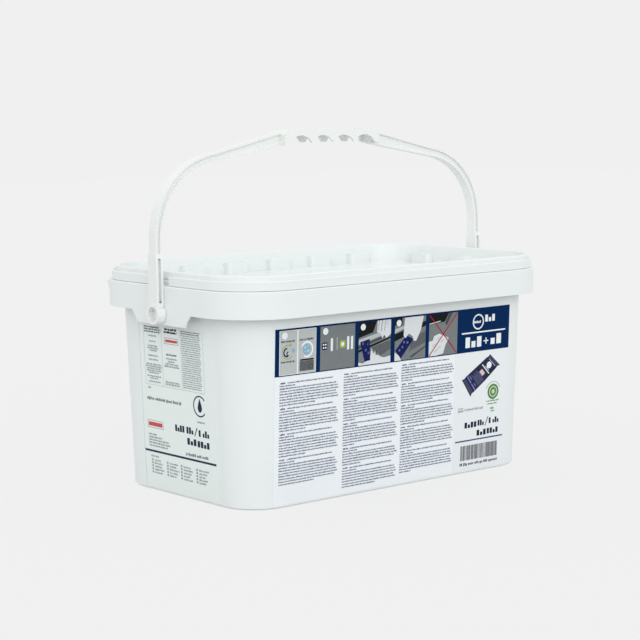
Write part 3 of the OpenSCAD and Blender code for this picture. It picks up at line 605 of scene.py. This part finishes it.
class TABTUB_OT_side_panel(bpy.types.Operator):
    """Print the sachet picture, green disc, weight rows and bars on the front's right part"""
    bl_idname = "tabtub.side_panel"
    bl_label = "Side Panel"

    def execute(self, context):
        look = context.scene.tub_print
        self.print_sachet(look)
        self.print_green(look)
        self.print_weights(look)
        return {"FINISHED"}

    def print_sachet(self, look):
        """The slanting picture of one wrapped tablet."""
        low_left, low_right = Vector((80.7, 64.6)), Vector((114.7, 88.2))
        top_left, top_right = Vector((70.2, 79.6)), Vector((102.5, 98.4))

        def on_sachet(points):
            """Points of the sachet, 0 to 1 along and across it."""
            return [tuple(low_left.lerp(low_right, a).lerp(top_left.lerp(top_right, a), b))
                    for a, b in points]

        film, fin, light, pale, rose, violet = (Drawing() for _ in range(6))
        film.outline(on_sachet([(0, 0), (0.06, 0.07), (0.12, 0.05), (0.5, 0.02), (0.88, 0.05), (0.94, 0.07),
                                (1, 0), (1, 1), (0.94, 0.95), (0.88, 0.98), (0.12, 0.98), (0.06, 0.95), (0, 1)]))
        for step in range(4):
            for a in (0.015 + step * 0.026, 0.985 - step * 0.026):
                fin.stroke(on_sachet([(a, 0.1), (a, 0.9)]), 0.32)
        for step in range(9):
            a = 0.29 + step * 0.024
            light.stroke(on_sachet([(a, 0.12), (a, 0.86 - 0.1 * (step % 3))]), 0.36)
        for low, top in ((0.1, 0.44), (0.54, 0.92)):
            violet.stroke(on_sachet([(0.17, low), (0.17, top)]), 1.25)
            violet.stroke(on_sachet([(0.235, low + 0.1), (0.235, top - 0.06)]), 0.8)
        rose.outline(on_sachet([(0.5, 0.34), (0.6, 0.34), (0.6, 0.66), (0.5, 0.66)]), 0.3)
        pale.disc(*on_sachet([(0.8, 0.52)])[0], 2.9)
        for a, low, top, width in ((0.67, 0.16, 0.84, 0.9), (0.71, 0.3, 0.62, 0.5), (0.9, 0.2, 0.8, 0.4)):
            pale.stroke(on_sachet([(a, low), (a, top)]), width)
        film.lay("sachet_picture", onto_front, ON_FILM, print_finish("sachet_ink", paint(44, 46, 74), 0.3, 0.003),
                 "tablet_print", "front_tablet_picture")
        for name, drawing, colour in (
                ("sachet_folds", fin, paint(104, 108, 132)), ("sachet_rows", light, paint(110, 114, 150)),
                ("sachet_dot", pale, look.pale), ("sachet_band", violet, paint(120, 126, 196)),
                ("sachet_patch", rose, paint(222, 190, 196))):
            drawing.lay(name, onto_front, ON_BANNER, print_finish(f"{name}_ink", colour), "tablet_print",
                        "front_tablet_picture")

    def print_green(self, look):
        """A green disc with a plain ring on it, an arc over it and rows below."""
        green, inner, lines = Drawing(), Drawing(), Drawing()
        green.disc(107.5, 66.2, 6.5, 40)
        lines.ring(107.5, 66.2, 8.7, 8.3, 20, 160, 24)
        inner.ring(107.5, 66.2, 4.7, 3.7, 0, 360, 32)
        inner.disc(107.5, 66.2, 1.9, 20)
        for u0, z, u1, height, seed in ((99.8, 58.0, 115.0, 1.3, 31), (101.4, 55.6, 113.4, 1.2, 32),
                                        (104.6, 51.4, 110.4, 1.6, 33), (105.4, 49.2, 109.6, 1.4, 34)):
            lines.words(u0, z, u1, height, seed)
        for name, drawing, levels, ink, colour in (
                ("green_dot", green, ON_FILM, "green_ink", look.green),
                ("green_dot_ring", inner, ON_BANNER, "pale_green_ink", paint(196, 216, 188)),
                ("green_rows", lines, ON_FILM, "green_row_ink", paint(142, 172, 140))):
            drawing.lay(name, onto_front, levels, print_finish(ink, colour), "green_print", "front_green_dot")

    def print_weights(self, look):
        """Rows of large blocks, a rule, upright bars and the rows beside and below them."""
        bars, dark, grey, article, rule = (Drawing() for _ in range(5))
        chance = random.Random(7)
        at = 70.8
        while at < 114.4:
            width = chance.choice((0.34, 0.34, 0.68, 0.68, 1.02))
            bars.box(at, 10.9, min(at + width, 114.9), 23.4)
            at += width + chance.choice((0.34, 0.34, 0.68))
        dark.blocks(74.8, 38.2, 88.6, 4.8, "TLTT")
        dark.blocks(90.2, 38.8, 97.4, 4.8, "TTL")
        dark.stroke([(99.0, 38.2), (102.2, 45.2)], 0.7)
        dark.blocks(103.6, 39.4, 115.0, 4.8, "T LTL")
        dark.blocks(89.4, 30.4, 100.0, 4.8, "TLT")
        dark.blocks(101.4, 30.8, 114.4, 4.6, "TTLT")
        article.words(70.2, 6.6, 114.6, 2.2, 56, 0.45)
        rule.box(64.2, 27.0, 120.2, 28.1)
        grey.box(66.5, 52.4, 72.8, 54.2, 0.4)
        grey.box(66.5, 55.0, 72.8, 55.9, 0.3)
        grey.words(74.4, 53.0, 96.4, 1.7, 57)
        for name, drawing, colour in (
                ("barcode_bars", bars, paint(112, 114, 120)), ("weight_rows", dark, look.dark),
                ("panel_rule", rule, paint(70, 82, 122)), ("article_row", article, paint(84, 90, 108)),
                ("origin_row", grey, paint(176, 180, 186))):
            drawing.lay(name, onto_front, ON_FILM, print_finish(f"{name}_ink", colour), "dark_print",
                        "front_barcode")


class TABTUB_OT_end_print(bpy.types.Operator):
    """Print the table, rows, rule and marks on the left end"""
    bl_idname = "tabtub.end_print"
    bl_label = "End Print"

    def execute(self, context):
        line, text, bold, dark, red, grey = (Drawing() for _ in range(6))
        self.draw_table(line, text, bold, dark)
        self.draw_fields(text, bold, dark, red, grey)
        for name, drawing, colour, slot, node in (
                ("end_lines", line, paint(202, 209, 210), "grey_print", "end_table"),
                ("end_small_rows", text, paint(168, 176, 180), "grey_print", "end_table"),
                ("end_bold_rows", bold, paint(122, 130, 136), "grey_print", "end_table"),
                ("end_dark_rows", dark, paint(44, 54, 74), "dark_print", "end_rule"),
                ("end_red_fields", red, paint(206, 92, 88), "dark_print", "end_ring"),
                ("end_grey_fields", grey, paint(160, 164, 168), "dark_print", "end_ring")):
            drawing.lay(name, onto_end, ON_FILM, print_finish(f"{name}_ink", colour), slot, node)
        return {"FINISHED"}

    def draw_table(self, line, text, bold, dark):
        """Three columns of rows between thin lines, and the line beside the label's edge."""
        left, first, second, right = -41.0, -17.0, 8.0, 37.0
        low, top = 86.8, 134.2
        for u in (left, first, second, right):
            line.box(u - 0.15, low, u + 0.15, top)
        line.box(left - 0.15, low - 0.4, right + 0.15, low)
        line.box(-47.4, 3.0, -47.1, 134.0)

        def centred(drawing, middle, width, z, height, seed):
            drawing.words(middle - width / 2, z, middle + width / 2, height, seed)

        for step in range(3):
            bold.words(left + 1, 132.6 - step * 1.9, first - 1.6 + step % 2, 1.3, 60 + step)
        middle = (left + first) / 2
        for seed, (z, width) in enumerate((
                (125.6, 11), (121.2, 9), (117.4, 13), (115.6, 15), (113.8, 10), (109.6, 14), (106.4, 13), (102.6, 20),
                (100.9, 22), (99.2, 19), (97.5, 20), (95.8, 14), (93.0, 19), (91.3, 12), (88.6, 16))):
            centred(text, middle, width, z, 1.2, 70 + seed)
        middle = (first + second) / 2
        for step in range(2):
            centred(dark, middle, 16 + step * 1.6, 132.2 - step * 2.4, 1.6, 90 + step)
        for seed, (z, width) in enumerate((
                (112.2, 14), (109.0, 15), (106.8, 10), (104.8, 17), (102.8, 21), (90.2, 19), (88.4, 20))):
            centred(bold if seed == 0 else text, middle, width, z, 1.3, 95 + seed)
        for step in range(27):
            drawing = bold if step < 2 else text
            drawing.words(second + 1.2, 132.6 - step * 1.7, right - 2.4 - (step * 5 % 7) * 0.3, 0.9, 110 + step)

    def draw_fields(self, text, bold, dark, red, grey):
        """Ring and drop, two red fields in grey frames, large blocks, the rule and four short lists."""
        text.words(-38.6, 83.6, -34.0, 1.2, 150)
        bold.words(-40.6, 74.2, 6.0, 2.2, 151, 0.4)
        dark.ring(29.6, 76.0, 8.4, 7.4, 40, 320, 36)
        dark.outline([(29.6, 82.2), (31.6, 77.4), (32.4, 74.4), (31.4, 72.0), (29.6, 71.0), (27.8, 72.0),
                      (26.8, 74.4), (27.6, 77.4)], 0.5)
        text.words(25.8, 62.8, 35.2, 1.4, 152)
        for u0, u1, z0, z1 in ((-13.2, 5.2, 121.2, 126.2), (-41.6, -20.4, 51.2, 57.4)):
            red.box(u0 + 1.4, z0 + 1.5, u1 - 1.4, z1 - 1.5, 0.3)
            for low, high in ((z0, z0 + 0.35), (z1 - 0.35, z1)):
                grey.box(u0, low, u1, high)
            for u in (u0, u1 - 0.35):
                grey.box(u, z0 + 0.35, u + 0.35, z1 - 0.35)
        dark.blocks(-4.2, 52.6, 19.4, 5.2, "TLTT TTL")
        dark.stroke([(21.4, 51.8), (24.6, 58.4)], 0.8)
        dark.blocks(26.6, 52.0, 39.8, 5.2, "T LTL")
        dark.blocks(11.2, 43.8, 22.8, 5.2, "TLT")
        dark.blocks(24.6, 43.4, 39.6, 5.0, "TTLT")
        bold.words(8.6, 34.9, 38.2, 2.3, 165, 0.4)
        for step in range(5):
            text.words(-41.0, 45.2 - step * 2.3, -41.0 + (11, 19, 27, 30, 25)[step], 1.4, 170 + step)
        dark.box(-46.8, 31.4, 47.4, 33.0)
        text.words(-39.0, 27.4, -28.6, 1.5, 180)
        for column, u in enumerate((-38.4, -18.0, 0.6, 21.0)):
            for step in range(5):
                z = 24.2 - step * 2.5
                grey.box(u, z, u + 2.0, z + 1.7, 0.3)
                text.words(u + 3.6, z, u + 3.6 + (9, 12, 10, 13, 11)[(step + column) % 5], 1.4,
                           190 + column * 10 + step)


def solid_boxes(node):
    """Lowest and highest corners of each solid of a CAD node."""
    bm = bmesh.new()
    bm.from_mesh(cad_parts[node].data)
    bmesh.ops.remove_doubles(bm, verts=bm.verts[:], dist=1e-6)
    left, boxes = set(bm.verts), []
    while left:
        found = [left.pop()]
        for vert in found:
            for edge in vert.link_edges:
                other = edge.other_vert(vert)
                if other in left:
                    left.discard(other)
                    found.append(other)
        ways = [sorted(v.co[axis] for v in found) for axis in range(3)]
        boxes.append((Vector([way[0] for way in ways]), Vector([way[-1] for way in ways])))
    bm.free()
    return boxes


def sachet_shape(size, crimps):
    """One wrapped tablet about the origin: flat sealed ends, crimped across, and a full middle."""
    bm = bmesh.new()
    bmesh.ops.create_cube(bm, size=1)
    for axis, cuts in ((0, 5 + 2 * crimps), (1, 3), (2, 1)):
        along = [e for e in bm.edges if abs(abs((e.verts[0].co - e.verts[1].co)[axis]) - 1) < 0.5]
        bmesh.ops.subdivide_edges(bm, edges=along, cuts=cuts, use_grid_fill=True)
    steps = 6 + 2 * crimps
    half, wide, tall = size.x / 2, size.y / 2, size.z / 2
    # Length of a sealed end, where the tablet reaches its full height, and half the film's thickness
    fin, full, film = 0.0045, 0.011, 0.0003
    ends = crimps + 1
    for vert in bm.verts:
        step = round((vert.co.x + 0.5) * steps)
        near = min(step, steps - step)
        side = -1 if step < steps / 2 else 1
        across, level = vert.co.y * 2, vert.co.z * 2
        if near < ends:
            x = half - fin * near / max(ends - 1, 1)
            y = across * wide
            z = level * film + (0.0005 if near % 2 else -0.0005)
        else:
            x = half - fin - {ends: 0.0035, ends + 1: full}.get(near, 0.0) if near - ends < 2 else 0.0
            y = across * wide * (0.97 if abs(level) > 0.6 else 1.0)
            z = level * tall * (0.62 if near == ends else 0.98) * (1 - 0.16 * abs(across) ** 4)
        vert.co = Vector((side * x if step * 2 != steps else 0.0, y, z))
    return bm


class TABTUB_OT_tablets(bpy.types.Operator):
    """Fill the tub with wrapped tablets, where the CAD solids lie"""
    bl_idname = "tabtub.tablets"
    bl_label = "Wrapped Tablets"

    def execute(self, context):
        look = context.scene.tub_tablets
        for node, name, slot, colour in (
                ("cleaner_tablets", "cleaner_sachets", "cleaner_wrap", look.cleaner),
                ("rinse_tablets", "rinse_sachets", "rinse_wrap", look.rinse)):
            boxes = solid_boxes(node)
            if len(boxes) < 2:
                raise RuntimeError(f"{node} has too few solids")
            size = boxes[0][1] - boxes[0][0]
            one = sachet_shape(size, look.crimps)
            shape = bpy.data.meshes.new("one_sachet")
            one.to_mesh(shape)
            one.free()
            bm = bmesh.new()
            for low, high in boxes:
                before = len(bm.verts)
                bm.from_mesh(shape)
                bm.verts.ensure_lookup_table()
                bmesh.ops.translate(bm, verts=bm.verts[before:], vec=(low + high) / 2)
            bpy.data.meshes.remove(shape)
            wrap = finish(f"{name}_film", colour, 0.28, cloud=0.15, cloud_size=0.012, grain=0.5,
                          grain_size=0.004)
            new_object(name, bm, wrap, "tub_body", slot, node, smooth=True)
        return {"FINISHED"}


def seen_straight(nodes, links):
    """An output that is 1 for rays from the camera, reflections and refractions, and 0 for light."""
    rays = nodes.new("ShaderNodeLightPath")
    last = rays.outputs["Is Camera Ray"]
    for kind in ("Is Glossy Ray", "Is Transmission Ray"):
        larger = nodes.new("ShaderNodeMath")
        larger.operation = "MAXIMUM"
        links.new(last, larger.inputs[0])
        links.new(rays.outputs[kind], larger.inputs[1])
        last = larger.outputs[0]
    return last


def mixed(nodes, links, share, first, second):
    """The output of a mix of two shaders."""
    mix = nodes.new("ShaderNodeMixShader")
    for socket, output in zip(mix.inputs, (share, first, second)):
        links.new(output, socket)
    return mix.outputs[0]


class TABTUB_OT_stage(bpy.types.Operator):
    """Set the pale floor, soft light and camera"""
    bl_idname = "tabtub.stage"
    bl_label = "Stage"

    def execute(self, context):
        look = context.scene.tub_stage
        scene = context.scene
        scene.view_settings.view_transform = "Standard"
        self.make_world(scene, look)
        self.make_floor(scene, look)
        # The sun's strength, its angle in degrees and the way that it shines
        for name, energy, width, way in (("wide_front_light", look.lamp, 40, (0.3, 0.8, -0.38)),
                                         ("camera_side_light", look.glint, 36, (0.66, 0.64, -0.3))):
            sun = bpy.data.lights.new(name, "SUN")
            sun.energy = energy
            sun.angle = math.radians(width)
            lamp = bpy.data.objects.new(name, sun)
            lamp.rotation_euler = Vector(way).to_track_quat("-Z", "Y").to_euler()
            scene.collection.objects.link(lamp)
        self.make_camera(scene, look)
        return {"FINISHED"}

    def make_world(self, scene, look):
        """A backdrop in its own colour, and even light from all around."""
        world = bpy.data.worlds.new("soft_room")
        scene.world = world
        world.use_nodes = True
        nodes, links = world.node_tree.nodes, world.node_tree.links
        nodes.clear()
        seen = add_node(nodes, "Background", Color=(*look.backdrop, 1))
        lit = add_node(nodes, "Background", Color=(0.985, 1.0, 1.0, 1), Strength=look.ambient)
        out = nodes.new("ShaderNodeOutputWorld")
        links.new(mixed(nodes, links, seen_straight(nodes, links), lit.outputs[0], seen.outputs[0]),
                  out.inputs["Surface"])

    def make_floor(self, scene, look):
        """A floor that shows as the backdrop, holds the tub's shadow and gives back part of its light."""
        bm = bmesh.new()
        bmesh.ops.create_grid(bm, x_segments=1, y_segments=1, size=6)
        mesh = bpy.data.meshes.new("floor")
        bm.to_mesh(mesh)
        bm.free()
        floor = bpy.data.objects.new("floor", mesh)
        scene.collection.objects.link(floor)
        material = bpy.data.materials.new("pale_floor")
        material.use_nodes = True
        nodes, links = material.node_tree.nodes, material.node_tree.links
        shader = nodes["Principled BSDF"]
        set_inputs(shader, Base_Color=(*[c * look.bounce for c in look.backdrop], 1), Roughness=0.9,
                   Specular_IOR_Level=0.0)
        glow = add_node(nodes, "Emission", Color=(*look.backdrop, 1), Strength=1 + (1 - look.bounce) * FLOOR_LIFT)
        share = nodes.new("ShaderNodeMath")
        share.operation = "MULTIPLY"
        share.inputs[1].default_value = FLOOR_GLOW
        links.new(seen_straight(nodes, links), share.inputs[0])
        links.new(mixed(nodes, links, share.outputs[0], shader.outputs[0], glow.outputs[0]),
                  nodes["Material Output"].inputs["Surface"])
        mesh.materials.append(material)

    def make_camera(self, scene, look):
        """The camera as it was fitted to the photo."""
        data = bpy.data.cameras.new("photo_camera")
        data.lens = look.lens
        data.sensor_width = 36
        data.shift_x, data.shift_y = CAMERA_SHIFT
        camera = bpy.data.objects.new("photo_camera", data)
        yaw, pitch, roll = (math.radians(angle) for angle in CAMERA_TURN)
        ahead = Vector((math.sin(yaw) * math.cos(pitch), math.cos(yaw) * math.cos(pitch), -math.sin(pitch)))
        right = Vector((math.cos(yaw), -math.sin(yaw), 0))
        up = right.cross(ahead)
        right, up = (right * math.cos(roll) + up * math.sin(roll),
                     up * math.cos(roll) - right * math.sin(roll))
        turn = Matrix((right, up, -ahead)).transposed()
        camera.matrix_world = Matrix.Translation(CAMERA_AT) @ turn.to_4x4()
        scene.collection.objects.link(camera)
        scene.camera = camera


class TABTUB_PT_panel(bpy.types.Panel):
    """Sizes and colours of the tub, and the steps that make it."""
    bl_label = "Tablet Tub"
    bl_idname = "TABTUB_PT_panel"
    bl_space_type = "VIEW_3D"
    bl_region_type = "UI"
    bl_category = "Tablet Tub"

    def draw(self, context):
        for held in PROPERTIES:
            group = getattr(context.scene, held)
            box = self.layout.box()
            for name in group.bl_rna.properties.keys():
                if name not in ("rna_type", "name"):
                    box.prop(group, name)
        for operator in STEPS:
            self.layout.operator(operator.bl_idname)


PROPERTIES = {"tub_plastics": TubPlastics, "tub_print": TubPrint, "tub_tablets": TubTablets,
              "tub_stage": TubStage}
STEPS = (TABTUB_OT_plastics, TABTUB_OT_marks, TABTUB_OT_films, TABTUB_OT_tiles, TABTUB_OT_small_print,
         TABTUB_OT_side_panel, TABTUB_OT_end_print, TABTUB_OT_tablets, TABTUB_OT_stage)


def register():
    """Makes the properties, steps and panel known to Blender."""
    for group in (*PROPERTIES.values(), *STEPS, TABTUB_PT_panel):
        bpy.utils.register_class(group)
    for held, group in PROPERTIES.items():
        setattr(bpy.types.Scene, held, PointerProperty(type=group))


def unregister():
    """Takes them away again."""
    for held in PROPERTIES:
        delattr(bpy.types.Scene, held)
    for group in reversed((*PROPERTIES.values(), *STEPS, TABTUB_PT_panel)):
        bpy.utils.unregister_class(group)


def main():
    """Runs every step."""
    register()
    bpy.ops.tabtub.plastics()
    bpy.ops.tabtub.marks()
    bpy.ops.tabtub.films()
    bpy.ops.tabtub.tiles()
    bpy.ops.tabtub.small_print()
    bpy.ops.tabtub.side_panel()
    bpy.ops.tabtub.end_print()
    bpy.ops.tabtub.tablets()
    bpy.ops.tabtub.stage()
    bpy.context.view_layer.update()


if __name__ == "__main__":
    main()
